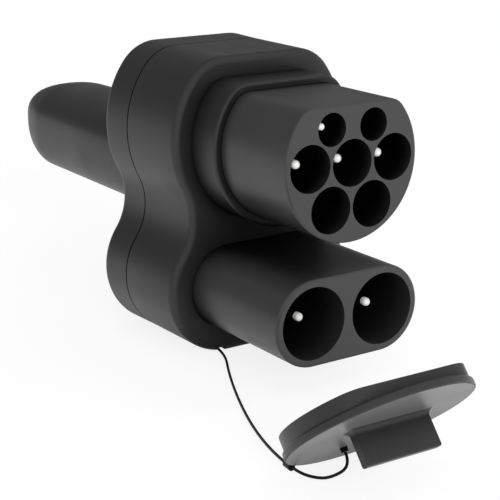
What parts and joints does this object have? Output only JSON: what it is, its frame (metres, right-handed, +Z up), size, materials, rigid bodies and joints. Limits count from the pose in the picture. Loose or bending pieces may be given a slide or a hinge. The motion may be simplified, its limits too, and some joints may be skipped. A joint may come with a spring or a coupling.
{
  "type": "ev charging adapter",
  "caption": "Charging adapter with a flat-topped round nose over a slot-shaped nose, tipped pins in deep wells, a tapered grip with a plug face, and a cap on a tether.",
  "frame": {"origin": "bottom centre of the adapter's own box, without the cap and its cord, on the ground under the flat foot", "axes": "+Y from the two noses to the plug face at the grip's end, +X right seen from the front, +Z up"},
  "size_m": [0.1027, 0.281, 0.1017],
  "materials": {
    "body": "fine moulded grain, satin black",
    "insulator": "smooth matt black",
    "contact": "nickel-plated, satin",
    "tip": "white, satin",
    "link": "plain bar",
    "lead": "insulated wire",
    "seal": "matt",
    "screw": "zinc-plated",
    "cap": "soft moulded, matt dark grey",
    "tether": "matt black cord",
    "anchor": "matt black",
    "ferrule": "matt black"
  },
  "bodies": {
    "root": {"ac_insulator": "insulator", "ac_retainer": "insulator", "contact_carrier": "insulator", "cord_ferrule": "ferrule", "dc_insulator": "insulator", "dc_pin_tips": "tip", "dc_retainer": "insulator", "earth_link": "link", "earth_pin": "contact", "earth_socket": "contact", "front_housing": "body", "housing_screws": "screw", "housing_seal": "seal", "left_dc_pin": "contact", "left_pilot_lead": "lead", "left_pilot_socket": "contact", "left_power_link": "link", "left_power_pin": "contact", "left_power_socket": "contact", "long_pilot_pin": "contact", "lower_grip_shell": "body", "pilot_pin_tips": "tip", "power_pin_tips": "tip", "protective_cap": "cap", "rear_housing": "body", "right_dc_pin": "contact", "right_pilot_lead": "lead", "right_pilot_socket": "contact", "right_power_link": "link", "right_power_pin": "contact", "right_power_socket": "contact", "short_pilot_pin": "contact", "tether": "tether", "tether_anchor": "anchor", "upper_grip_shell": "body"}
  },
  "joints": []
}
